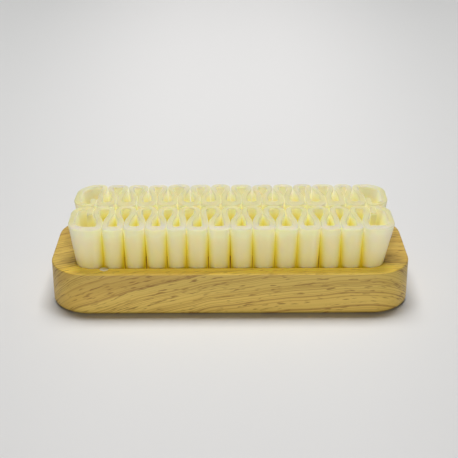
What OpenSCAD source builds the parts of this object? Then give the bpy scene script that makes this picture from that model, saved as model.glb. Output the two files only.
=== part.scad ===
// Suede brush: a beech block with two folded crepe rubber ribbons
// Units are millimetres. The block rests on Z = 0, its length runs along X
// and the front side faces -Y. The origin is the bottom centre of the block.

/* [Block] */
// length of the wooden block, end to end
block_l = 125; // [110:1:150]
// width of the block, front to back
block_w = 49.2; // [46:0.2:62]
// thickness of the block
block_h = 15.3; // [13:0.1:24]
// radius of the four corners seen from above
corner_r = 14.4; // [8:0.2:20]
// rounding of the edge around the top face
top_round = 0.5; // [0.3:0.1:1.2]
// rounding of the edge around the bottom face
bottom_round = 1.2; // [0.6:0.1:2]

/* [Pocket] */
// depth of the milled pocket that holds the crepe
pocket_depth = 4; // [3:0.1:6]
// wood left between the pocket and the long sides
side_shelf = 4.9; // [4:0.1:7]
// wood left between the pocket and the ends
end_shelf = 9; // [8:0.1:14]
// radius of the pocket's corners seen from above
pocket_r = 5.6; // [4.6:0.1:7]

/* [Crepe ribbons] */
// height of the crepe above the wood
crepe_rise = 15.1; // [10:0.1:20]
// thickness of the crepe strip
wall = 2.1; // [1.6:0.05:2.2]
// wanted distance from one loop to the next
pitch_aim = 7.4; // [7:0.1:9]
// width of the big loop at each end of a ribbon, at the wood
end_loop = 9.2; // [8.8:0.1:10.4]
// how far the folds sit off the middle of the block, towards +X
fold_offset = 0.3; // [-0.5:0.1:0.5]
// clear gap between faces of crepe that touch
touch = 0.15; // [0.1:0.05:0.3]
// how much wider the outer clefts stand at the wood than at the top
cleft_open = 0.7; // [0:0.1:1]
// distance from a ribbon's tail to the wall in front of it
tail_gap = 1.2; // [0.8:0.1:2]
// how far the back of an end loop stays inside its front corner
end_step = 0.3; // [0:0.1:0.6]
// how far the long sides lean out between wood and top
side_lean = 1; // [0:0.1:1.6]
// how far the end loops lean out between wood and top
end_lean = 2.6; // [0:0.1:3.6]
// wander of the folds along a ribbon
wander = 0.3; // [0:0.02:0.4]

/* [Glue] */
// thickness of the glue on the pocket floor
glue_t = 0.4; // [0.2:0.1:0.8]
// clear gap between the glue and the pocket's wall
glue_clear = 0.1; // [0.05:0.05:0.3]
// radius of the drop squeezed out at the front
bead_r = 1.6; // [0.8:0.1:1.8]
// height of that drop
bead_h = 0.7; // [0.3:0.1:1]
// place of that drop along the block, from its middle
bead_along = -43.3; // [-46:0.1:-41]
// distance from the crepe's foot to the middle of that drop
bead_out = 0.6; // [0.3:0.1:1.2]

/* [Hidden] */
$fn = 96;
// how far a cutting shape reaches past what it cuts
over = 1;
// starting angles of the irregular folding of the two ribbons
front_seed = 20;
rear_seed = 75;
pocket_l = block_l - 2 * end_shelf;
pocket_w = block_w - 2 * side_shelf;
pocket_z = block_h - pocket_depth;
// crepe half sizes at the wood, just inside the pocket
half_l = pocket_l / 2 - touch;
half_w = pocket_w / 2 - touch;
crepe_z0 = pocket_z + glue_t;
crepe_z1 = block_h + crepe_rise;
// whole number of outer loops between the two end loops
row_l = 2 * half_l - 2 * end_loop;
loops = round(row_l / pitch_aim);
pitch = row_l / loops;
// turning radii of the strip's middle line: corners of the outer loops,
// round backs of the inner loops, corners of the whole row
outer_turn = 0.23 * pitch;
inner_turn = (pitch - wall - touch) / 2 - 0.9 * wander;
corner_turn = pocket_r - touch - wall / 2 - 0.1;
// the walls slide from the clefts over to the necks between these two
// shares of the way from the outer side to the centre plane
slide_from = 0.17;
slide_to = 0.58;
// straight steps that make up one arc of a fold, and one such slide
arc_steps = 4;
slide_steps = 4;
// heights of the cross-sections that shape a ribbon
levels = [crepe_z0, block_h, block_h + crepe_rise / 2, crepe_z1];

// irregular shift of fold k: a slow wave along the row, with a quick one on it
function shift(k, seed) =
    wander * (0.7 * cos(360 * k / loops + seed) + 0.3 * sin(137 * k + seed));
// place of cleft k on the outer side, k from 0 to loops
function cleft(k, seed) =
    fold_offset + (k - loops / 2) * pitch + shift(k, seed);
// place of neck k between two inner loops, k from 0 to loops + 1
function neck(k, seed) =
    fold_offset + (k - 0.5 - loops / 2) * pitch + shift(k - 0.5, seed);
// share of the way from the wood to the top, 0 inside the pocket
function rise_at(z) = max(0, (z - block_h) / crepe_rise);

// the strip's middle line runs around these circles, [x, y, signed radius];
// a positive radius turns left, a negative one right
function outer_pair(k, y, gap, seed) = [
    [cleft(k, seed) + gap / 2 + wall / 2 + outer_turn, y, outer_turn],
    [cleft(k + 1, seed) - gap / 2 - wall / 2 - outer_turn, y, outer_turn]];
function inner_pair(k, y, seed) = [
    [neck(k, seed) + touch / 2 + wall / 2 + inner_turn, y, -inner_turn],
    [neck(k + 1, seed) - touch / 2 - wall / 2 - inner_turn, y, -inner_turn]];

// the circles of the end loop at the low end, walked from its tail
function end_circles(first_cleft, first_neck, reach, depth, gap) =
    let (back_turn = (reach - end_step - wall - touch / 2 + first_neck) / 2)
    [[first_cleft - gap / 2 - wall * 1.5 - touch * 1.5,
      -depth + wall + tail_gap, 0],
     [first_neck - touch / 2 - wall / 2 - back_turn,
      -touch / 2 - wall / 2 - back_turn, back_turn],
     [-reach + wall / 2 + corner_turn,
      -depth + wall / 2 + corner_turn, corner_turn],
     [first_cleft - gap / 2 - wall / 2 - outer_turn,
      -depth + wall / 2 + outer_turn, outer_turn]];

function mirrored(list) =
    [for (i = [len(list) - 1 : -1 : 0]) [-list[i].x, list[i].y, list[i].z]];

// all circles of a ribbon at one height
function circles(z, seed) =
    let (h = rise_at(z),
         gap = touch + cleft_open * (1 - h),
         depth = half_w + side_lean * h,
         reach = half_l + end_lean * h,
         y_out = -depth + wall / 2 + outer_turn,
         y_in = -touch / 2 - wall / 2 - inner_turn)
    concat(
        end_circles(cleft(0, seed), neck(0, seed), reach, depth, gap),
        [for (k = [0 : loops])
            each concat(inner_pair(k, y_in, seed),
                k < loops ? outer_pair(k, y_out, gap, seed) : [])],
        mirrored(end_circles(-cleft(loops, seed), -neck(loops + 1, seed),
            reach, depth, gap)));

// a wall runs from an outer turn to an inner one, or the other way
function is_wall(a, b) = a.z * b.z <= 0;
// heading in which the strip leaves circle a for circle b: square to the row
// for a wall, along the common tangent otherwise
function heading(a, b) =
    is_wall(a, b) ? (b.y > a.y ? 90 : -90)
    : atan2(b.y - a.y, b.x - a.x)
      + asin((a.z - b.z) / norm([b.x - a.x, b.y - a.y]));
// shortest turn from heading p to heading q, on the circle's own side
function turn(p, q, side) =
    let (d = (q - p) % 360)
    side > 0 ? (d < -1 ? d + 360 : d) : (d > 1 ? d - 360 : d);

// point of circle c, shifted by side, where the strip has heading q
function rim(c, side, q) =
    [c.x + (c.z - side) * sin(q), c.y - (c.z - side) * cos(q)];
// soft step from 0 to 1
function soft(t) = t * t * (3 - 2 * t);
// points of the slide of a wall from point p to point q; y_a and y_b bound it
function slide(p, q, y_a, y_b) =
    let (up = q.y > p.y, low = up ? p : q, high = up ? q : p)
    [for (s = [0 : slide_steps])
        let (t = (up ? s : slide_steps - s) / slide_steps)
        [low.x + (high.x - low.x) * soft(t), y_a + (y_b - y_a) * t]];

// one side of the strip, shifted by side from its middle line; each arc is
// cut into the same number of steps, and the two tails into none
function edge(c, side, depth) =
    let (n = len(c))
    [for (i = [0 : n - 1])
        let (a = heading(c[max(i - 1, 0)], c[max(i, 1)]),
             b = heading(c[min(i, n - 2)], c[min(i + 1, n - 1)]),
             t = turn(a, b, c[i].z),
             m = i == 0 || i == n - 1 ? 0 : arc_steps)
        each concat(
            [for (s = [0 : m]) rim(c[i], side, a + (m == 0 ? 0 : t * s / m))],
            i < n - 1 && is_wall(c[i], c[i + 1])
                ? slide(rim(c[i], side, b), rim(c[i + 1], side, b),
                        (slide_from - 1) * depth, (slide_to - 1) * depth)
                : [])];

// closed outline of the strip: out along one side, back along the other
function outline(z, seed) =
    let (c = circles(z, seed),
         depth = half_w + side_lean * rise_at(z),
         right = edge(c, -wall / 2, depth),
         left = edge(c, wall / 2, depth))
    concat(right, [for (i = [len(left) - 1 : -1 : 0]) left[i]]);

// a folded strip standing on edge, made of cross-sections; its bottom and top
// are bridged from one side of the strip to the other
module ribbon(seed) {
    rings = [for (z = levels) [for (p = outline(z, seed)) [p.x, p.y, z]]];
    n = len(rings[0]);
    m = len(levels);
    up = (m - 1) * n;
    sides = [for (k = [0 : m - 2], i = [0 : n - 1])
        let (j = (i + 1) % n, a = k * n, b = a + n)
        each [[a + i, b + i, b + j], [a + i, b + j, a + j]]];
    ends = [for (i = [0 : n / 2 - 2])
        let (p = i + 1, q = n - 2 - i, r = n - 1 - i)
        each [[i, p, q], [i, q, r],
              [up + q, up + p, up + i], [up + r, up + q, up + i]]];
    polyhedron(points = [for (ring = rings) each ring],
        faces = concat(sides, ends));
}

// cross-section of the block with rounded edges, width w
module rounded_section(w) {
    t = top_round;
    b = bottom_round;
    translate([-w / 2, b]) square([w, block_h - t - b]);
    translate([-w / 2 + t, block_h / 2])
        square([w - 2 * t, block_h / 2]);
    translate([-w / 2 + b, 0]) square([w - 2 * b, block_h / 2]);
    for (side = [-1, 1]) {
        translate([side * (w / 2 - t), block_h - t]) circle(r = t);
        translate([side * (w / 2 - b), b]) circle(r = b);
    }
}

// one corner of the block, turned about its own upright axis
module block_corner() {
    rotate_extrude() intersection() {
        rounded_section(2 * corner_r);
        square([corner_r + over, block_h + over]);
    }
}

// outline of the pocket or of the glue in it, grown by g on each side
module pocket_outline(g) {
    l = pocket_l + 2 * g;
    w = pocket_w + 2 * g;
    r = pocket_r + g;
    square([l - 2 * r, w], center = true);
    square([l, w - 2 * r], center = true);
    for (x = [-1, 1], y = [-1, 1])
        translate([x * (l / 2 - r), y * (w / 2 - r)]) circle(r = r);
}

// the wooden block with its pocket
module beech_block() {
    color([0.72, 0.58, 0.32])
    difference() {
        union() {
            translate([-block_l / 2 + corner_r, 0, 0])
                rotate([90, 0, 90])
                    linear_extrude(block_l - 2 * corner_r)
                        rounded_section(block_w);
            translate([0, block_w / 2 - corner_r, 0])
                rotate([90, 0, 0])
                    linear_extrude(block_w - 2 * corner_r)
                        rounded_section(block_l);
            for (x = [-1, 1], y = [-1, 1])
                translate([x * (block_l / 2 - corner_r),
                           y * (block_w / 2 - corner_r), 0])
                    block_corner();
        }
        translate([0, 0, pocket_z])
            linear_extrude(pocket_depth + over) pocket_outline(0);
    }
}

// the front ribbon of crepe
module front_crepe_ribbon() {
    color([0.88, 0.84, 0.62]) ribbon(front_seed);
}

// the rear ribbon, folded the other way round
module rear_crepe_ribbon() {
    color([0.9, 0.86, 0.66]) mirror([0, 1, 0]) ribbon(rear_seed);
}

// the layer of glue both ribbons stand in
module glue_bed() {
    color([0.86, 0.8, 0.6])
    translate([0, 0, pocket_z]) linear_extrude(glue_t)
        pocket_outline(-glue_clear);
}

// the drop of glue pressed out at the foot of the first cleft, a flat dome
// whose back is cut off just short of the crepe
module glue_bead() {
    dome_r = (bead_r * bead_r + bead_h * bead_h) / (2 * bead_h);
    back = bead_out - glue_clear;
    color([0.9, 0.86, 0.72])
    translate([bead_along, -half_w - bead_out, block_h])
    difference() {
        rotate_extrude() intersection() {
            translate([0, bead_h - dome_r]) circle(r = dome_r);
            square([bead_r + over, bead_h + over]);
        }
        translate([-bead_r - over, back, -over])
            cube([2 * (bead_r + over), 2 * bead_r, bead_h + 2 * over]);
    }
}

// which piece to show, or all

beech_block();
front_crepe_ribbon();
rear_crepe_ribbon();
glue_bed();
glue_bead();
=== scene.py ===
# %% [markdown]
# # A crepe suede brush
# The brush is an oiled beech block with two long strips of raw crepe rubber
# folded to and fro and glued on edge into a milled pocket. The script keeps
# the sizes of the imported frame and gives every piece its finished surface.
# Lengths are in metres in Blender; the shapes are worked out in millimetres.

# %% Load the frame
import bpy
import numpy as np
from mathutils import Matrix, Vector


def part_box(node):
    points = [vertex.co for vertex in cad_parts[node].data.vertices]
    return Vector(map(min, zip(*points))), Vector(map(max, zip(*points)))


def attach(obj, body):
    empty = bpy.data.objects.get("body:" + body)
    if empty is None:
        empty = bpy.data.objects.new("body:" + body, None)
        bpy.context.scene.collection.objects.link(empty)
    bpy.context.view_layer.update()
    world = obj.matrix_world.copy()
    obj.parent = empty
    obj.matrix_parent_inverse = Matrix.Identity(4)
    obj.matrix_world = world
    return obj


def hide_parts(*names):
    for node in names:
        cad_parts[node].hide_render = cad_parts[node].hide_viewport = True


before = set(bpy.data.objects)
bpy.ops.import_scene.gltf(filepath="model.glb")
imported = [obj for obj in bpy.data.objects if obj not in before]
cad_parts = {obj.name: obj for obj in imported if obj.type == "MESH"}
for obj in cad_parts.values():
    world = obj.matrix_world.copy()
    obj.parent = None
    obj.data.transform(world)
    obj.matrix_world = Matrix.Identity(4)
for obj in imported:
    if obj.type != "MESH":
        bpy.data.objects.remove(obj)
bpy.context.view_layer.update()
MM = 0.001
block_lo, block_hi = (np.array(c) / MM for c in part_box("beech_block"))
crepe_hi = np.array(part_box("front_crepe_ribbon")[1]) / MM
bed_lo, bed_hi = (np.array(c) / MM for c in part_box("glue_bed"))
bead_lo, bead_hi = (np.array(c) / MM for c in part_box("glue_bead"))
print("frame pieces:", sorted(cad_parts))
print("block size in mm:", np.round(block_hi - block_lo, 2))

# %% [markdown]
# ## Camera
# A studio shot of a small object is often taken with a short telephoto lens,
# so that the long block hardly tapers. The camera stands 39 cm away, in
# front of the long side, and looks 24 degrees down. Its place, aim and lens
# were fitted to the block's edges in the photo beforehand.

# %% Camera
camera_place = Vector((-0.17, -354.99, 181.55)) * MM
camera_target = Vector((-0.335, 0.0, 21.24)) * MM
camera_lens = 85.6
camera_roll_deg = -0.213

camera_data = bpy.data.cameras.new("camera")
camera_data.lens = camera_lens
camera_data.sensor_width = 36.0
camera_data.clip_start = 0.01
camera_data.clip_end = 20.0
camera = bpy.data.objects.new("camera", camera_data)
bpy.context.scene.collection.objects.link(camera)
aim = (camera_target - camera_place).to_track_quat("-Z", "Y")
roll = Matrix.Rotation(np.radians(camera_roll_deg), 4, "Z")
camera.matrix_world = (Matrix.Translation(camera_place)
                       @ aim.to_matrix().to_4x4() @ roll)
bpy.context.scene.camera = camera
bpy.context.scene.view_settings.view_transform = "Standard"
print("camera at", [round(v, 3) for v in camera.location])

# %% [markdown]
# ## Small helpers
# Five helpers serve the pieces: one turns a hex colour into the linear values
# a shader wants, one is a soft step between 0 and 1, one makes a mesh from a
# grid of points, one adds a shader node with its inputs and settings, and
# one starts a material.

# %% Colour, mesh and node helpers
def linear(hex_colour, alpha=1.0):
    """Linear colour of an sRGB hex string: each channel is undone by the
    sRGB curve, a straight piece below 0.04045 and a power of 2.4 above."""
    s = np.array([int(hex_colour[i:i + 2], 16) for i in (1, 3, 5)]) / 255
    c = np.where(s <= 0.04045, s / 12.92, ((s + 0.055) / 1.055) ** 2.4)
    return (*c, alpha)


def smooth(t):
    """Soft step: 0 below 0, 1 above 1, and 3t^2 - 2t^3 between."""
    t = np.clip(t, 0, 1)
    return t * t * (3 - 2 * t)


def grid_mesh(name, points_mm, closed_rows=False):
    """Object from a grid of points [row, place in row, xyz] in millimetres:
    each cell becomes a face. With closed_rows each row is a ring, and the
    first and last ring are closed by one face, so the piece is solid."""
    nu, nv = points_mm.shape[:2]
    index = np.arange(nu * nv).reshape(nu, nv)
    if closed_rows:
        index = np.concatenate([index, index[:, :1]], axis=1)
    quads = np.stack([index[:-1, :-1], index[1:, :-1],
                      index[1:, 1:], index[:-1, 1:]], -1).reshape(-1, 4)
    corners = quads.ravel()
    totals = np.full(len(quads), 4)
    if closed_rows:
        first, last = np.arange(nv), np.arange(nv)[::-1] + (nu - 1) * nv
        corners = np.concatenate([corners, first, last])
        totals = np.concatenate([totals, [nv, nv]])
    mesh = bpy.data.meshes.new(name)
    mesh.vertices.add(nu * nv)
    mesh.vertices.foreach_set("co", (points_mm * MM).astype("f").ravel())
    mesh.loops.add(len(corners))
    mesh.loops.foreach_set("vertex_index", corners)
    mesh.polygons.add(len(totals))
    starts = np.concatenate([[0], np.cumsum(totals)[:-1]])
    mesh.polygons.foreach_set("loop_start", starts)
    mesh.polygons.foreach_set("loop_total", totals)
    mesh.polygons.foreach_set("use_smooth", totals == 4)
    mesh.update(calc_edges=True)
    mesh.validate()
    piece = bpy.data.objects.new(name, mesh)
    bpy.context.scene.collection.objects.link(piece)
    print(name, "faces:", len(mesh.polygons))
    return piece


def add(tree, kind, inputs=None, stops=None, **settings):
    """Adds a shader node of a kind. Settings name its properties; inputs
    maps an input's name or number to a socket or a value; stops are the
    (place, hex colour) pairs of a colour ramp."""
    node = tree.nodes.new(kind)
    for key, value in settings.items():
        setattr(node, key, value)
    for key, value in (inputs or {}).items():
        if isinstance(value, bpy.types.NodeSocket):
            tree.links.new(value, node.inputs[key])
        else:
            node.inputs[key].default_value = value
    for k, (place, colour) in enumerate(stops or []):
        elements = node.color_ramp.elements
        stop = elements[k] if k < len(elements) else elements.new(place)
        stop.position = place
        stop.color = linear(colour)
    return node


def new_material(name, inputs):
    """Material with a Principled shader joined to its output."""
    material = bpy.data.materials.new(name)
    material.use_nodes = True
    tree = material.node_tree
    tree.nodes.clear()
    shader = add(tree, "ShaderNodeBsdfPrincipled", inputs)
    add(tree, "ShaderNodeOutputMaterial", {"Surface": shader.outputs[0]})
    return material, tree, shader

# %% [markdown]
# ## Studio
# The brush lies on a pale sweep of paper that runs flat under it and turns up
# far behind, so that no edge shows from the front. The paper's colour gets a
# little greyer to the sides, as a painted falloff of the light towards the
# edge of the set. A soft lamp hangs above and a little behind, which lets the
# crepe glow and drops a short shadow in front of the block. A low, wide
# reflector in front lights the wood and the front of the crepe, but hardly the
# floor, so that the shadow stays. More lamps would only wash the shadow out.

# %% Floor sweep, in millimetres
sweep_half = 1600.0
sweep_front = 1500.0
sweep_back = 1100.0
sweep_r = 500.0
sweep_rise = 1000.0

run = np.linspace(-sweep_front, sweep_back, 40)
bend = np.linspace(0, np.pi / 2, 24)[1:]
rise = np.linspace(0, sweep_rise, 8)[1:]
sweep_y = np.concatenate([run, sweep_back + sweep_r * np.sin(bend),
                          np.full(len(rise), sweep_back + sweep_r)])
sweep_z = np.concatenate([run * 0, sweep_r * (1 - np.cos(bend)),
                          sweep_r + rise])
X, Y = np.meshgrid(np.linspace(-sweep_half, sweep_half, 9), sweep_y,
                   indexing="ij")
Z = np.broadcast_to(sweep_z, X.shape)
floor = grid_mesh("paper_sweep", np.stack([X, Y, Z], -1))

# %% Paper material
# Matt paper has no highlight; its colour darkens softly from the middle out,
# as painted shade where the light falls off.
pale_within, grey_beyond = 20.0 * MM, 160.0 * MM
paper, tree, shader = new_material("matt studio paper", {
    "Roughness": 0.9, "Specular IOR Level": 0.2})
place = add(tree, "ShaderNodeTexCoord").outputs["Object"]
x = add(tree, "ShaderNodeSeparateXYZ", {0: place}).outputs[0]
aside = add(tree, "ShaderNodeMath", {0: x}, operation="ABSOLUTE").outputs[0]
painted_falloff = add(tree, "ShaderNodeMapRange", {
    0: aside, "From Min": pale_within, "From Max": grey_beyond},
    interpolation_type="SMOOTHSTEP").outputs[0]
painted_falloff_tone = add(tree, "ShaderNodeValToRGB", {0: painted_falloff}, stops=[
    (0.0, "#e6e5e4"), (1.0, "#d3d3d2")]).outputs[0]
tree.links.new(painted_falloff_tone, shader.inputs["Base Color"])
floor.data.materials.append(paper)

# %% Lamps and room
room_light = 0.04


def soft_lamp(name, place, target, size, watts):
    """Area lamp of a size (width, height), turned from its place to a
    target."""
    data = bpy.data.lights.new(name, "AREA")
    data.shape = "RECTANGLE"
    data.size, data.size_y = size
    data.energy = watts
    lamp = bpy.data.objects.new(name, data)
    turn = (Vector(target) - Vector(place)).to_track_quat("-Z", "Y")
    lamp.matrix_world = (Matrix.Translation(place)
                         @ turn.to_matrix().to_4x4())
    bpy.context.scene.collection.objects.link(lamp)
    return lamp


top_softbox = soft_lamp(
    "top_softbox", place=(0, 0.3, 1.08), target=(0, 0, 0), size=(0.7, 0.34),
    watts=12.2)
front_reflector = soft_lamp(
    "front_reflector", place=(0, -1.3, 0.1), target=(0, 0, 0.02),
    size=(1.6, 0.16), watts=8.2)
world = bpy.data.worlds.new("dim even room")
world.use_nodes = True
air = world.node_tree.nodes["Background"]
air.inputs["Color"].default_value = (1, 1, 1, 1)
air.inputs["Strength"].default_value = room_light
bpy.context.scene.world = world
print("lamps in watts:", round(top_softbox.data.energy, 1),
      round(front_reflector.data.energy, 1))

# %% [markdown]
# ## The beech block
# The block is cut from one plank: a plate with large round corners, a crisp
# top edge that has only been broken with sandpaper, and a rounder bottom
# edge. A box with a Bevel modifier would do for the outside, but the corner,
# the two edges and the pocket all have their own radius. So one profile is
# carried around the plan outline, from the middle of the bottom, over the
# side and the top, down into the pocket.

# %% Block sizes and plan outline, in millimetres
corner_r = 14.4
top_round = 0.5
bottom_round = 1.2
pocket_corner_r = 5.6
bed_clear = 0.1
pocket_half = bed_hi[:2] + bed_clear
pocket_floor = bed_lo[2]
wood_z = block_hi[2]
block_half = block_hi[:2]


def plan_ring(half_size, radius, z, arc=24, side=40):
    """Closed rounded rectangle at a height, clockwise from above: quarter
    circles joined by straight sides. Every ring has the same number of
    points, so that rings can be joined into a surface."""
    angle = np.linspace(0, np.pi / 2, arc, endpoint=False)
    quarter = radius * np.stack([np.cos(angle), np.sin(angle)], -1)
    straight = np.linspace(0, 1, side, endpoint=False)[:, None]
    centre = np.asarray(half_size) - radius
    parts = []
    for k in range(4):
        c, s = np.cos(k * np.pi / 2), np.sin(k * np.pi / 2)
        spin = np.array([[c, s], [-s, c]])
        here, there = (centre, centre[::-1])[::1 if k % 2 == 0 else -1]
        start = here + (0, radius)
        end = np.array([-there[1], there[0] + radius])
        parts.append((quarter + here) @ spin)
        parts.append((start + (end - start) * straight) @ spin)
    ring = np.concatenate(parts)[::-1]
    return np.column_stack([ring, np.full(len(ring), z)])

# %% Block surface
pole = 0.02
bottom_half = block_half - bottom_round
bottom_rings = [
    plan_ring(bottom_half, corner_r - bottom_round, 0) * (share, share, 1)
    for share in np.linspace(pole, 0.96, 8)]
turn = np.linspace(0, np.pi / 2, 7)
side_inset = np.concatenate([bottom_round * (1 - np.sin(turn)), np.zeros(12),
                             top_round * (1 - np.cos(turn))])
side_height = np.concatenate([
    bottom_round * (1 - np.cos(turn)),
    np.linspace(bottom_round, wood_z - top_round, 14)[1:-1],
    wood_z - top_round * (1 - np.sin(turn))])
side_rings = [plan_ring(block_half - inset, corner_r - inset, z)
              for inset, z in zip(side_inset, side_height)]
rim = side_rings[-1]
mouth = plan_ring(pocket_half, pocket_corner_r, wood_z)
top_rings = [rim + (mouth - rim) * share
             for share in np.linspace(0, 1, 12)[1:]]
pocket_rings = [
    mouth * (share, share, 0) + (0, 0, z)
    for share, z in [(1, z) for z in np.linspace(wood_z, pocket_floor, 6)[1:]]
    + [(share, pocket_floor) for share in np.linspace(0.9, pole, 6)]]
block_points = np.stack(
    bottom_rings + side_rings + top_rings + pocket_rings)
block = grid_mesh("beech_back", block_points, closed_rows=True)

# %% [markdown]
# ## The lit strip of wood
# In front of the crepe the wood looks warmer and lighter, probably because
# light that has soaked through the rubber falls on it. The render's few
# bounces don't carry that light, so an attribute marks the strip, strongest
# at the pocket and gone 8 mm away. The wood's material reads it. It is only
# marked at the front, where the photo shows it.

# %% Attribute near the crepe
strip_reach = 8.0
strip_share = 0.85
strip_from, strip_fade = 14.0, 6.0
same_level = 0.2
beyond = (np.abs(block_points[..., :2]) - pocket_half).max(-1)
near = smooth(1 - beyond / strip_reach) * strip_share
near = near * (block_points[..., 2] > wood_z - same_level)
near = near * smooth((-block_points[..., 1] - strip_from) / strip_fade)
layer = block.data.attributes.new("near_crepe", "FLOAT", "POINT")
layer.data.foreach_set("value", near.astype("f").ravel())
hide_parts("beech_block")
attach(block, "root")

# %% [markdown]
# ## Oiled beech
# Beech has fine growth rings and short brown dashes where its rays come out.
# A picture of grain would not fit where two faces meet, so the pattern is
# solid: the rings are nearly flat sheets through the block, and one number,
# which grows across the sheets, gives the slanting lines on the front, the
# straight ones on top and the steep ones at the ends. How fast it grows along
# x, y and z is set by ring_normal, which isn't of unit length. Two noises
# along that number draw lines, a little over a millimetre apart on the front
# with finer ones between them, and broad warm bands.

# %% Growth rings of the beech
ring_normal = (-0.10, 0.42, 0.52)
ring_bend = 0.0009
ring_sway = 1.8
sway_per_mm = 0.045
line_rate = 1.5
band_rate = 0.21

beech, tree, shader = new_material("oiled beech, sanded", {
    "Roughness": 0.46, "Emission Strength": 1.0})
place = add(tree, "ShaderNodeTexCoord").outputs["Object"]
mm = add(tree, "ShaderNodeVectorMath", {0: place, "Scale": 1000.0},
         operation="SCALE").outputs[0]
axes = add(tree, "ShaderNodeSeparateXYZ", {0: mm}).outputs
sway = add(tree, "ShaderNodeTexNoise", {
    "Vector": mm, "Scale": sway_per_mm, "Detail": 2.0}).outputs[0]
square = add(tree, "ShaderNodeMath", {0: axes[0], 1: axes[0]},
             operation="MULTIPLY").outputs[0]
across = add(tree, "ShaderNodeVectorMath", {0: mm, 1: ring_normal},
             operation="DOT_PRODUCT").outputs["Value"]
curved = add(tree, "ShaderNodeMath", {0: square, 1: ring_bend, 2: across},
             operation="MULTIPLY_ADD").outputs[0]
rings = add(tree, "ShaderNodeMath", {0: sway, 1: ring_sway, 2: curved},
            operation="MULTIPLY_ADD").outputs[0]
fine = add(tree, "ShaderNodeTexNoise", {
    "W": rings, "Scale": line_rate, "Detail": 2.0, "Roughness": 0.6},
    noise_dimensions="1D").outputs[0]
line_tone = add(tree, "ShaderNodeValToRGB", {0: fine}, stops=[
    (0.36, "#b28c3e"), (0.45, "#caaa4b"), (0.53, "#dabb5b"),
    (0.62, "#be9b42")]).outputs[0]
broad = add(tree, "ShaderNodeTexNoise", {
    "W": rings, "Scale": band_rate, "Detail": 1.0},
    noise_dimensions="1D").outputs[0]
band = add(tree, "ShaderNodeMapRange", {
    0: broad, "From Min": 0.5, "From Max": 0.75}).outputs[0]
banded = add(tree, "ShaderNodeMix", {
    "Factor": band, 6: line_tone, 7: linear("#c39c42")},
    data_type="RGBA").outputs[2]
front_rate = line_rate * np.hypot(ring_normal[0], ring_normal[2])
print("a ring line on the front every", round(1 / front_rate, 2), "mm")

# %% [markdown]
# ## Ray dashes
# The rays of beech show as dark brown dashes, some 4 mm long and a fraction
# of a millimetre wide, lying along the rings. They could be modelled as
# grooves, but oil fills them. So they are a noise stretched along the ring
# sheets, of which only the highest peaks are coloured.

# %% Dashes of the beech
dash_rates = (0.26, 0.26, 3.2)
dash_share = 0.75
sheet = add(tree, "ShaderNodeCombineXYZ", {
    0: axes[0], 1: axes[1], 2: rings}).outputs[0]
fibre = add(tree, "ShaderNodeMapping", {
    "Vector": sheet, "Scale": dash_rates}).outputs[0]
ray = add(tree, "ShaderNodeTexNoise", {
    "Vector": fibre, "Scale": 1.0, "Detail": 1.5}).outputs[0]
dash = add(tree, "ShaderNodeMapRange", {
    0: ray, "From Min": 0.59, "From Max": 0.70,
    "To Max": dash_share}).outputs[0]
flecked = add(tree, "ShaderNodeMix", {
    "Factor": dash, 6: banded, 7: linear("#875d1c")},
    data_type="RGBA").outputs[2]

# %% [markdown]
# ## Shade on the sides and light near the crepe
# In the photo the sides are a little darker under the top edge and on the
# bottom rounding. That is probably the light there and not the wood, but
# more or other lamps would change the crepe and the shadow too. So a factor
# over the height, in millimetres, dims the wood there, lifts it a little in
# between and leaves the top alone. The strip in front of the crepe is tinted
# warmer and glows weakly, in place of the light that comes through the
# rubber.

# %% Shade and lit strip of the beech
shade_from, shade_to = 5.0, 12.0
low_tone, high_tone = 1.07, 0.9
edge_from, edge_to = 14.7, 15.2
foot_from, foot_to, foot_tone = 0.3, 1.3, 0.4
warm_tint = (1.5, 1.42, 0.75, 1)
side_tone = add(tree, "ShaderNodeMapRange", {
    0: axes[2], "From Min": shade_from, "From Max": shade_to,
    "To Min": low_tone, "To Max": high_tone},
    interpolation_type="SMOOTHSTEP").outputs[0]
on_top = add(tree, "ShaderNodeMapRange", {
    0: axes[2], "From Min": edge_from, "From Max": edge_to}).outputs[0]
shade = add(tree, "ShaderNodeMix", {
    "Factor": on_top, 2: side_tone, 3: 1.0}).outputs[0]
foot_shade = add(tree, "ShaderNodeMapRange", {
    0: axes[2], "From Min": foot_from, "From Max": foot_to,
    "To Min": foot_tone}).outputs[0]
shade = add(tree, "ShaderNodeMath", {0: shade, 1: foot_shade},
            operation="MULTIPLY").outputs[0]
shaded = add(tree, "ShaderNodeVectorMath", {
    0: flecked, "Scale": shade}, operation="SCALE").outputs[0]
near = add(tree, "ShaderNodeAttribute",
           attribute_name="near_crepe").outputs["Fac"]
warmed = add(tree, "ShaderNodeMix", {
    "Factor": near, 6: shaded, 7: warm_tint},
    data_type="RGBA", blend_type="MULTIPLY").outputs[2]
tree.links.new(warmed, shader.inputs["Base Color"])
lit = add(tree, "ShaderNodeMix", {
    "Factor": near, 6: (0, 0, 0, 1), 7: linear("#94822f")},
    data_type="RGBA").outputs[2]
tree.links.new(lit, shader.inputs["Emission Color"])

# %% [markdown]
# ## Sheen and pores
# Sanded and oiled beech has a low sheen. The dense late rings are a little
# smoother than the soft early ones, and the dashes lie slightly deeper than
# the wood around them, too little to be worth real geometry.

# %% Sheen and pores of the beech
soft_rough, dense_rough = 0.54, 0.38
pore_depth = 0.05 * MM
shine = add(tree, "ShaderNodeMapRange", {
    0: fine, "To Min": soft_rough, "To Max": dense_rough}).outputs[0]
tree.links.new(shine, shader.inputs["Roughness"])
pores = add(tree, "ShaderNodeMath", {0: dash, 1: fine},
            operation="SUBTRACT").outputs[0]
bump = add(tree, "ShaderNodeBump", {
    "Height": pores, "Strength": 0.4, "Distance": pore_depth},
    invert=True).outputs[0]
tree.links.new(bump, shader.inputs["Normal"])
block.data.materials.append(beech)
print("beech nodes:", len(tree.nodes))

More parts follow.
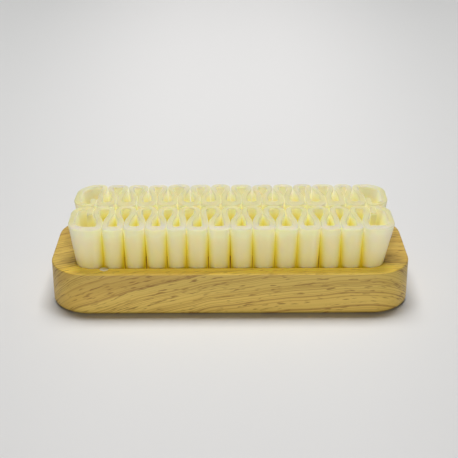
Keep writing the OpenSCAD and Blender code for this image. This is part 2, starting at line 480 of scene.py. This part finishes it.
# %% [markdown]
# ## Folding the crepe
# Each row is one strip of crepe folded to and fro. It could be cut from a
# curve with a Solidify modifier, but then the folds could not change with
# the height. So the strip runs along a chain of circles, as a belt runs over
# pulleys: small ones at the corners of the outer loops, large ones at the
# round backs of the inner loops. A left turn has a positive radius and a
# right turn a negative one. Between an outer and an inner loop the wall
# leaves both square to the row and slides over softly between two depths.
# The circles move a little with the height, because the strips are squeezed
# at the wood and lean out above it.
#
# The places of the folds are written in tenths of a millimetre off an even
# row. They were measured on the photo with scratch scripts and the fitted
# camera, and some were set by hand after that. A small wander from a formula
# would be the tidier design, but the folds would follow the photo less.

# %% Sizes of the folds, in millimetres
wall = 2.15
touch = 0.05
crepe_foot = bed_hi[2]
crepe_top = crepe_hi[2]
foot_depth, top_depth = 19.5, 20.5
fold_pitch = 7.43
fold_count = 12
foot_turn, top_turn = 2.0, 1.75
tail_gap = 11.0
tail_clear = 0.2
back_turn = 1.35
least_end = 5.0
inner_share, outer_share = 0.97, 0.48
shoulder_share, least_shoulder = 0.9, 1.15
closed_above = 0.8

# %% Measured places of the folds
front = {
    "side": -1, "slide": (-13.6, -5.1), "bunched": (1.3, 0.0),
    "middle": 0.6, "reach": ((53.4, 55.6), (53.4, 56.4)),
    "corner": ((4.5, 5.4), (4.5, 4.6)),
    "cleft_top": (3, 2, 2, 1, -6, -6, -5, -3, 1, 4, 7, 1, 2),
    "cleft_foot": (4, 1, 1, -1, -7, -7, -5, -2, 0, 0, 4, 3, 0),
    "cleft_open": (0, 6, 7, 3, 2, 3, 5, 2, 2, 1, 6, 3, 2),
    "neck": (-2, 0, 0, 0, -1, 1, 0, -1, -1, 4, 6, 9, 5, 3)}
rear = {
    "side": 1, "slide": (-17.2, -8.6), "bunched": (0.0, 2.2),
    "middle": 0.3, "reach": ((53.4, 55.9), (53.4, 56.8)),
    "corner": ((4.5, 6.4), (4.5, 6.4)),
    "cleft_top": (-8, -4, -4, -8, 0, 1, 0, 5, 7, 5, 2, 9, 2),
    "cleft_foot": (-4, -2, -2, -4, 0, 1, 0, 2, 3, 2, 1, 4, 1),
    "cleft_open": (1, 1, 1, 1, 9, 1, 1, 1, 1, 1, 1, 1, 1),
    "neck": (2, -1, -2, -4, -4, 3, 2, 2, 3, 7, 6, 8, 2, 2)}

# %% Helpers over the height
def height_share(z):
    """Share of the way from the wood to the top, 0 inside the pocket."""
    return np.clip((z - wood_z) / (crepe_top - wood_z), 0, 1)


def between(pair, h):
    """Value at a height share, from a (foot, top) pair."""
    return pair[0] + (pair[1] - pair[0]) * h

# %% [markdown]
# ## The end loops
# At each end the strip makes a big loop: a tight back on the centre line, a
# wide shoulder, and two corners at the outside. Its cut end, the tail, lies
# inside the loop against the first wall. The photo shows no doubled wall at
# the top of the end loops, so the tail is short.

# %% Circles that the strip runs around
def end_circles(cleft, neck, gap, reach, depth, corner, turn):
    """The five turns of a big end loop at the low-x end, from its tail:
    the cut tail, the tight back, the wide shoulder, the wide corner and the
    front corner. The back's circle lies inside the shoulder's circle and
    touches it, so that one arc runs into the other."""
    span = reach + neck - wall - touch / 2
    shoulder = np.maximum(shoulder_share * span, back_turn * least_shoulder)
    apart = shoulder - back_turn
    shift = span - back_turn - shoulder
    back_y = -touch / 2 - wall / 2 - back_turn
    drop = np.sqrt(apart ** 2 - shift ** 2)
    tail_x = cleft - gap / 2 - 1.5 * wall - 1.5 * touch - tail_clear
    return [(tail_x, -depth + wall + tail_gap, 0 * depth),
            (neck - touch / 2 - wall / 2 - back_turn, back_y, back_turn),
            (-reach + wall / 2 + shoulder, back_y - drop, shoulder),
            (-reach + wall / 2 + corner, -depth + wall / 2 + corner, corner),
            (cleft - gap / 2 - wall / 2 - turn,
             -depth + wall / 2 + turn, turn)]


def strip_circles(z, row):
    """Circles [fold, height, (x, y, signed radius)] of one strip: places
    slide evenly from their values at the wood to those at the top, and the
    outer clefts close on the way up."""
    h = height_share(z)
    even = (np.arange(fold_count + 1) - fold_count / 2) * fold_pitch
    cleft = between([(even + row["middle"] + np.array(row[k]) / 10)[:, None]
                     for k in ("cleft_foot", "cleft_top")], h)
    even = (np.arange(fold_count + 2) - fold_count / 2 - 0.5) * fold_pitch
    neck = (even + row["middle"] + np.array(row["neck"]) / 10)[:, None] + 0 * h
    gap = touch + np.array(row["cleft_open"])[:, None] / 10 * np.clip(
        1 - h / closed_above, 0, 1)
    depth = between((foot_depth, top_depth), h)
    reach = [between(pair, h) for pair in row["reach"]]
    neck[0] = np.maximum(neck[0], least_end - reach[0])
    neck[-1] = np.minimum(neck[-1], reach[1] - least_end)
    corner = [between(pair, h) for pair in row["corner"]]
    turn = between((foot_turn, top_turn), h)
    chain = end_circles(cleft[0], neck[0], gap[0], reach[0], depth,
                        corner[0], turn)
    for k in range(fold_count + 1):
        inner = (neck[k + 1] - neck[k] - touch - wall) / 2 * inner_share
        y_in = -touch / 2 - wall / 2 - inner
        chain.append((neck[k] + touch / 2 + wall / 2 + inner, y_in, -inner))
        chain.append((neck[k + 1] - touch / 2 - wall / 2 - inner, y_in,
                      -inner))
        if k < fold_count:
            left = cleft[k] + gap[k] / 2 + wall / 2
            right = cleft[k + 1] - gap[k + 1] / 2 - wall / 2
            outer = np.minimum(turn, (right - left) * outer_share)
            y_out = -depth + wall / 2 + outer
            chain.append((left + outer, y_out, outer))
            chain.append((right - outer, y_out, outer))
    far = end_circles(-cleft[-1], -neck[-1], gap[-1], reach[1], depth,
                      corner[1], turn)
    chain += [(-x, y, r) for x, y, r in far[::-1]]
    return np.array([np.broadcast_arrays(*c, h)[:3] for c in chain]
                    ).transpose(0, 2, 1)

# %% Carrying the strip's profile along the folds
nearly_full_turn = 1.9 * np.pi


def strip_points(z, offset, row, arc=8, straight=13):
    """Grid [place along the strip, profile row, (x, y, z)] in millimetres.
    Around each circle the heading turns evenly from one tangent to the
    next, and a point stands at the centre plus (radius - offset) times the
    heading's right-hand normal. A wall, which joins turns of opposite
    sides, leaves its circles square to the row and slides over softly
    between two depths; all other pieces are straight. The circles at the
    two tails only place the ends and give no points."""
    c = strip_circles(z, row)
    d = c[1:] - c[:-1]
    is_wall = c[:-1, :, 2] * c[1:, :, 2] <= 0
    lean = (c[:-1, :, 2] - c[1:, :, 2]) / np.hypot(d[..., 0], d[..., 1])
    heading = np.where(
        is_wall, np.sign(d[..., 1]) * np.pi / 2,
        np.arctan2(d[..., 1], d[..., 0]) + np.arcsin(np.clip(lean, -1, 1)))
    heading = np.concatenate([heading[:1], heading, heading[-1:]])
    turned = heading[1:] - heading[:-1]
    turned = np.where(c[..., 2] > 0, turned % (2 * np.pi),
                      -((-turned) % (2 * np.pi)))
    rounding_only = abs(turned) > nearly_full_turn
    turned = np.where(rounding_only, 0, turned)
    turned[[0, -1]] = 0
    share = np.linspace(0, 1, arc + 1)[:, None]
    angle = heading[:-1, None] + turned[:, None] * share
    radius = (c[..., 2] - offset)[:, None]
    arcs = np.stack([c[:, None, :, 0] + radius * np.sin(angle),
                     c[:, None, :, 1] - radius * np.cos(angle)], -1)
    start, end = arcs[:-1, -1:], arcs[1:, :1]
    even = np.linspace(0, 1, straight + 2)[1:-1, None]
    y = start[..., 1] * (1 - even) + end[..., 1] * even
    slide_from, slide_to = row["slide"]
    back = smooth((y - slide_from) / (slide_to - slide_from))
    slid = np.where((d[..., 1] > 0)[:, None], back, 1 - back)
    part = np.where(is_wall[:, None], slid, even)
    x = start[..., 0] * (1 - part) + end[..., 0] * part
    lines = np.stack([x, y], -1)
    lines = np.concatenate([lines, lines[-1:]])
    flat = np.concatenate([arcs, lines], 1)
    keep = np.ones(flat.shape[:2], bool)
    keep[0, :arc + 1] = False
    keep[-1] = False
    flat = flat[keep]
    height = np.broadcast_to(z, flat.shape[:2])
    return np.concatenate([flat, height[..., None]], -1)

# %% [markdown]
# ## Slow ripples
# Folded rubber is nowhere quite even. A noise texture with a Displace
# modifier would move neighbouring walls into each other, so one smooth
# random field moves both rows together.

# %% A smooth random field
wave_count = 7
slowest, fastest = 0.7, 1.4
evened = 1.6


def ripple(points, size, seed):
    """Smooth random number, mostly from -1 to 1, at each point: the mean of
    seven sine waves of about one length, each in a random direction, times
    a factor that brings it up to that range."""
    rng = np.random.default_rng(seed)
    ways = rng.normal(size=(wave_count, 3))
    ways *= 2 * np.pi / size / np.linalg.norm(ways, axis=1)[:, None]
    ways *= rng.uniform(slowest, fastest, wave_count)[:, None]
    phase = rng.uniform(0, 2 * np.pi, wave_count)
    return np.sin(points @ ways.T + phase).mean(-1) * evened

# %% Depth in the folds, in millimetres
row_corner = 6.5
soaks_in = 2.1
soaks_down = 0.8


def fold_depth(p, row):
    """How deep a point lies in the folds, from 0 outside to 1: its distance
    in from the round outline of the whole row, times its distance down from
    the top, each as a soft step."""
    h = height_share(p[..., 2])
    low, high = (between(pair, h) for pair in row["reach"])
    half = np.stack([(low + high) / 2, between((foot_depth, top_depth), h)],
                    -1)
    centre = np.stack([(high - low) / 2, 0 * h], -1)
    q = np.abs(p[..., :2] - centre) - half + row_corner
    beyond_corner = np.linalg.norm(np.maximum(q, 0), axis=-1)
    inward = row_corner - beyond_corner - np.minimum(q.max(-1), 0)
    down = crepe_top - p[..., 2]
    return smooth(inward / soaks_in) * smooth(down / soaks_down)

# %% [markdown]
# ## The strip's profile
# Cut across, the strip is a thin upright wall, 18.7 mm high, whose top edges
# are a little rounded. The profile goes up one face, over the top and down
# the other. The bottom stays open in the profile and is closed by the mesh,
# since every row of the grid is a ring.

# %% Profile of the strip
edge_r = 0.45
weld_distance = 0.002 * MM
quarter = np.linspace(0, np.pi / 2, 4)
side_z = np.concatenate([np.linspace(crepe_foot, wood_z, 5)[:-1],
                         np.linspace(wood_z, crepe_top - edge_r, 14)])
half_wall = wall / 2
over = np.linspace(-half_wall + edge_r, half_wall - edge_r, 5)[1:-1]
profile_z = np.concatenate([
    side_z, crepe_top - edge_r * (1 - np.sin(quarter[1:])),
    np.full(3, crepe_top),
    crepe_top - edge_r * (1 - np.sin(quarter[::-1][:-1])), side_z[::-1]])
profile_d = np.concatenate([
    np.full(len(side_z), -half_wall),
    -half_wall + edge_r * (1 - np.cos(quarter[1:])), over,
    half_wall - edge_r * (1 - np.cos(quarter[::-1][:-1])),
    np.full(len(side_z), half_wall)])
print("profile points:", len(profile_z))

# %% [markdown]
# ## Two folded strips
# Where thick rubber is bent sharply, it bunches up on the inside of the bend.
# The photo shows broader tops on the front row's outer bends and on the rear
# row's inner ones, so there the inner face of the strip is moved into the
# cell. The second strip is the same shape mirrored, with its own places of
# folds. Points that end up on one spot in a sharp bend are joined by a Weld
# modifier, so that no face is left without an area.

# %% Bunching, uneven top and ripples, in millimetres
outer_bend_from, outer_bend_fade = 14.2, 4.2
inner_bend_from, inner_bend_fade = 7.4, 5.2
end_loops_from = 48.0
dip_size, dip_depth = 14, 0.15
warp_size, warp_depth = 24, 0.12
warp_seeds = (11, 12)


def crepe_ribbon(name, row, seed):
    """One folded strip: the profile is carried along the folds, the bends
    are thickened on their inside, the top is lowered here and there, and
    the row is mirrored to its side and moved by the shared ripples."""
    p = strip_points(profile_z, profile_d, row)
    inside = 0.5 + profile_d / wall
    outer, inner = row["bunched"]
    out_there = smooth((-outer_bend_from - p[..., 1]) / outer_bend_fade)
    p[..., 1] += outer * inside * out_there
    off_ends = smooth(end_loops_from - abs(p[..., 0] - row["middle"]))
    in_there = smooth((p[..., 1] + inner_bend_from) / inner_bend_fade)
    p[..., 1] -= inner * off_ends * (1 - inside) * in_there
    depth = fold_depth(p, row)
    h = height_share(p[..., 2])
    dip = np.minimum(ripple(p * (1, 1, 0), dip_size, seed + 2) - 1, 0)
    p[..., 2] += dip_depth * h * dip
    p[..., 1] *= -row["side"]
    warp = np.stack([ripple(p, warp_size, k) for k in warp_seeds], -1)
    p[..., :2] += warp_depth * h[..., None] * warp
    if row["side"] > 0:
        p, depth = p[::-1], depth[::-1]
    piece = grid_mesh(name, p, closed_rows=True)
    layer = piece.data.attributes.new("fold_depth", "FLOAT", "POINT")
    layer.data.foreach_set("value", depth.astype("f").ravel())
    weld = piece.modifiers.new("join points that coincide", "WELD")
    weld.merge_threshold = weld_distance
    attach(piece, "root")
    return piece


front_ribbon = crepe_ribbon("front_ribbon", front, 11)
rear_ribbon = crepe_ribbon("rear_ribbon", rear, 47)
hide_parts("front_crepe_ribbon")
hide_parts("rear_crepe_ribbon")

# %% [markdown]
# ## Raw crepe rubber
# Crepe is coagulated latex pressed into sheets: milky, cream coloured, matt
# and slightly see-through. Light goes in, scatters and comes out yellow, so
# the folds fill with a yellow light instead of going dark. Subsurface
# scattering over a few millimetres softens the walls, but the render's few
# bounces leave the folds too dark. So the depth in the folds brings in a
# yellower tone, and further down a weak glow is added.
#
# The first cell sets the tones over the height: milky outside, yellow deep in
# the folds, both paler towards the top. Their change over the height is
# painted light: paler at the top, where the most light falls, and yellower at
# the foot, where the light has passed through more rubber.

# %% Crepe tones over the height
clouds_per_m = 140.0
cloud_share = 0.35
crepe, tree, shader = new_material("raw crepe rubber, pressed sheet", {
    "Subsurface Weight": 1.0, "Subsurface Radius": (1.0, 0.8, 0.3),
    "Subsurface Scale": 5.0 * MM, "Roughness": 0.6, "IOR": 1.52,
    "Specular IOR Level": 0.3,
    "Emission Strength": 1.0})
place = add(tree, "ShaderNodeTexCoord").outputs["Object"]
axes = add(tree, "ShaderNodeSeparateXYZ", {0: place}).outputs
height = add(tree, "ShaderNodeMapRange", {
    0: axes[2], "From Min": wood_z * MM,
    "From Max": crepe_top * MM}).outputs[0]
cloud = add(tree, "ShaderNodeTexNoise", {
    "Vector": place, "Scale": clouds_per_m, "Detail": 3.0}).outputs[0]
clouded = add(tree, "ShaderNodeMath", {
    0: cloud, 1: cloud_share, 2: height},
    operation="MULTIPLY_ADD").outputs[0]
# Painted light: the height makes the milk paler at the top and yellower at the
# foot; the clouds are the rubber's own uneven tone.
milk = add(tree, "ShaderNodeValToRGB", {0: clouded}, stops=[
    (0.15, "#e0d694"), (0.6, "#e3dba6"), (0.81, "#e6deae"),
    (0.98, "#e9e5ba"), (1.0, "#e9e7c0")]).outputs[0]
# Painted shade: a darker yellow for deep in the folds, paler towards the top.
painted_fold_tone = add(tree, "ShaderNodeValToRGB", {0: height}, stops=[
    (0.0, "#c8ac20"), (0.42, "#d8c748"), (0.59, "#dcd066"),
    (0.75, "#e3da88"), (0.89, "#ebe8c2")]).outputs[0]
depth = add(tree, "ShaderNodeAttribute",
            attribute_name="fold_depth").outputs["Fac"]
tone = add(tree, "ShaderNodeMix", {
    "Factor": depth, 6: milk, 7: painted_fold_tone}, data_type="RGBA").outputs[2]
print("cloud size in mm:", round(1 / (clouds_per_m * MM), 1))

# %% [markdown]
# ## Paler walls and the cut top
# In the photo the far walls of the rear row and the walls at both ends look
# paler than the rest, probably because light comes through them from behind.
# The cut top is a little greyer than the pressed faces. A second material
# would leave a hard border, so both follow softly from the place on the
# piece.

# %% Pale outer walls and cut top
rear_from, rear_to = 9 * MM, 16 * MM
end_from, end_to, end_share = 44.5 * MM, 50 * MM, 0.6
cut_from, cut_to = 0.5, 0.3
side_from, side_to = 13 * MM, 18 * MM
behind = add(tree, "ShaderNodeMapRange", {
    0: axes[1], "From Min": rear_from, "From Max": rear_to}).outputs[0]
far_along = add(tree, "ShaderNodeMath", {0: axes[0]},
                operation="ABSOLUTE").outputs[0]
at_end = add(tree, "ShaderNodeMapRange", {
    0: far_along, "From Min": end_from, "From Max": end_to,
    "To Max": end_share}).outputs[0]
outermost = add(tree, "ShaderNodeMath", {0: behind, 1: at_end},
                operation="MAXIMUM").outputs[0]
through = add(tree, "ShaderNodeMath", {0: outermost, 1: height},
              operation="MULTIPLY").outputs[0]
paled = add(tree, "ShaderNodeMix", {
    "Factor": through, 6: tone, 7: linear("#ebe7d6")},
    data_type="RGBA").outputs[2]
cap = add(tree, "ShaderNodeMapRange", {
    0: axes[2], "From Min": (crepe_top - cut_from) * MM,
    "From Max": (crepe_top - cut_to) * MM}).outputs[0]
aside = add(tree, "ShaderNodeMath", {0: axes[1]},
            operation="ABSOLUTE").outputs[0]
outward = add(tree, "ShaderNodeMapRange", {
    0: aside, "From Min": side_from, "From Max": side_to}).outputs[0]
cut_tone = add(tree, "ShaderNodeMix", {
    "Factor": outward, 6: linear("#d6cf9e"), 7: linear("#d8d2b8")},
    data_type="RGBA").outputs[2]
capped = add(tree, "ShaderNodeMix", {
    "Factor": cap, 6: paled, 7: cut_tone}, data_type="RGBA").outputs[2]
tree.links.new(capped, shader.inputs["Base Color"])

# %% [markdown]
# ## Light that soaks from wall to wall
# The glow stands in for light that has passed through several walls. It is
# yellow low in the folds and nearly white near the top, and it only shows
# where the depth in the folds says so. At the mouths of the front row's
# outer cells some of it is taken off, because the photo is deeper in tone
# there. Under a much darker light this glow would show as a glow.

# %% Glow in the folds
mouth_low, mouth_high, mouth_share = 0.4, 0.8, 0.38
black = (0, 0, 0, 1)
soaked = add(tree, "ShaderNodeValToRGB", {0: height}, stops=[
    (0.0, "#68600a"), (0.42, "#6a6824"), (0.75, "#757540"),
    (0.83, "#7b7852"), (0.89, "#7c7869"), (0.94, "#7b7a74")]).outputs[0]
light = add(tree, "ShaderNodeMix", {
    "Factor": through, 6: soaked, 7: linear("#7a7a74")},
    data_type="RGBA").outputs[2]
high = add(tree, "ShaderNodeMapRange", {
    0: height, "From Min": mouth_low, "From Max": mouth_high,
    "To Max": mouth_share}).outputs[0]
forward = add(tree, "ShaderNodeMapRange", {
    0: axes[1], "From Min": -side_from, "From Max": -side_to}).outputs[0]
opened = add(tree, "ShaderNodeMath", {0: forward, 1: high},
             operation="MULTIPLY").outputs[0]
dimmed = add(tree, "ShaderNodeMix", {
    "Factor": opened, 6: light, 7: black}, data_type="RGBA").outputs[2]
glow = add(tree, "ShaderNodeMix", {
    "Factor": depth, 6: black, 7: dimmed}, data_type="RGBA").outputs[2]
tree.links.new(glow, shader.inputs["Emission Color"])

# %% [markdown]
# ## Fine wrinkles
# Crepe has its name from the fine wrinkles that the rollers leave. They are
# a tenth of a millimetre deep, so a bump is enough. Real ones can be finer
# than a pixel of the render, so they are drawn about 1.2 mm apart to show.

# %% Wrinkles of the crepe
wrinkles_per_m = 800.0
wrinkle_depth = 0.12 * MM
wrinkle = add(tree, "ShaderNodeTexNoise", {
    "Vector": place, "Scale": wrinkles_per_m, "Detail": 4.0}).outputs[0]
bump = add(tree, "ShaderNodeBump", {
    "Height": wrinkle, "Strength": 0.35,
    "Distance": wrinkle_depth}).outputs[0]
tree.links.new(bump, shader.inputs["Normal"])
for ribbon in (front_ribbon, rear_ribbon):
    ribbon.data.materials.append(crepe)
print("crepe nodes:", len(tree.nodes))

# %% [markdown]
# ## Dried glue
# Contact glue dries to a tough film. The drop on the wood is pale and a little
# see-through. The bed on the pocket's floor hardly shows; it is made amber,
# partly as thick old glue is and partly as painted shade for the dark foot of
# the folds, where it shows through the clefts. So there are two materials,
# with soft streaks about 1 mm apart on the drop and 3 mm apart on the bed.

# %% Glue materials
film_per_m, streaks_per_m = 900.0, 300.0
glue, tree, shader = new_material("dried contact glue", {
    "Roughness": 0.4, "Subsurface Weight": 0.6,
    "Subsurface Radius": (1.0, 0.8, 0.5), "Subsurface Scale": 0.6 * MM})
place = add(tree, "ShaderNodeTexCoord").outputs["Object"]
film = add(tree, "ShaderNodeTexNoise", {
    "Vector": place, "Scale": film_per_m, "Detail": 2.0}).outputs[0]
film_tone = add(tree, "ShaderNodeValToRGB", {0: film}, stops=[
    (0.3, "#efe4bd"), (0.7, "#fbf4dc")]).outputs[0]
tree.links.new(film_tone, shader.inputs["Base Color"])
amber, tree, shader = new_material("thick contact glue, aged and shaded", {
    "Roughness": 0.35})
place = add(tree, "ShaderNodeTexCoord").outputs["Object"]
streak = add(tree, "ShaderNodeTexNoise", {
    "Vector": place, "Scale": streaks_per_m, "Detail": 3.0}).outputs[0]
# The bed's amber is partly painted shade for the foot of the clefts.
amber_tone = add(tree, "ShaderNodeValToRGB", {0: streak}, stops=[
    (0.3, "#987022"), (0.7, "#b48c3a")]).outputs[0]
tree.links.new(amber_tone, shader.inputs["Base Color"])
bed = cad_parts["glue_bed"]
bed.data.materials.clear()
bed.data.materials.append(amber)
print("glue bed keeps the frame's mesh and gets:", amber.name)

# %% [markdown]
# ## The drop of glue
# One small drop was pressed out at the foot of the first cleft and dried on
# the wood, leaning on the crepe. A squashed sphere would look too round. So
# its plan is a circle with a few lobes, its height falls off like a lens
# above a low rim, and slow ripples make it lumpy.

# %% Drop surface, in millimetres
rim_share = 0.2
lens_power = 0.55
lump_size, lump_depth, lump_seed = 1.1, 0.22, 5
angle = np.linspace(0, 2 * np.pi, 56, endpoint=False)
lobes = 0.88 + 0.07 * np.sin(2 * angle + 0.6) + 0.05 * np.sin(5 * angle)
bead_r = (bead_hi[0] - bead_lo[0]) / 2
bead_x = (bead_hi[0] + bead_lo[0]) / 2
bead_y = bead_lo[1] + bead_r
out = np.concatenate([[1.0, 1.0], np.linspace(0.98, 0.03, 14)])
lens = (1 - out[2:] ** 2) ** lens_power
lift = np.concatenate([[0.0, rim_share],
                       lens * (1 - rim_share) + rim_share])
way = np.stack([np.cos(angle), -np.sin(angle)], -1)
flat = out[:, None, None] * (bead_r * lobes)[:, None] * way
flat = flat + (bead_x, bead_y)
flat[..., 1] = np.minimum(flat[..., 1], bead_hi[1])
lumps = ripple(np.dstack([flat, flat[..., 0]]), lump_size, lump_seed)
lump = 1 - lump_depth * (1 + lumps) / 2
bead_h = bead_hi[2] - bead_lo[2]
up = bead_lo[2] + bead_h * lift[:, None] * np.where(
    lift[:, None] > rim_share, lump, 1)
bead = grid_mesh("glue_drop", np.dstack([flat, up]), closed_rows=True)
bead.data.materials.append(glue)
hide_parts("glue_bead")
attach(bead, "root")
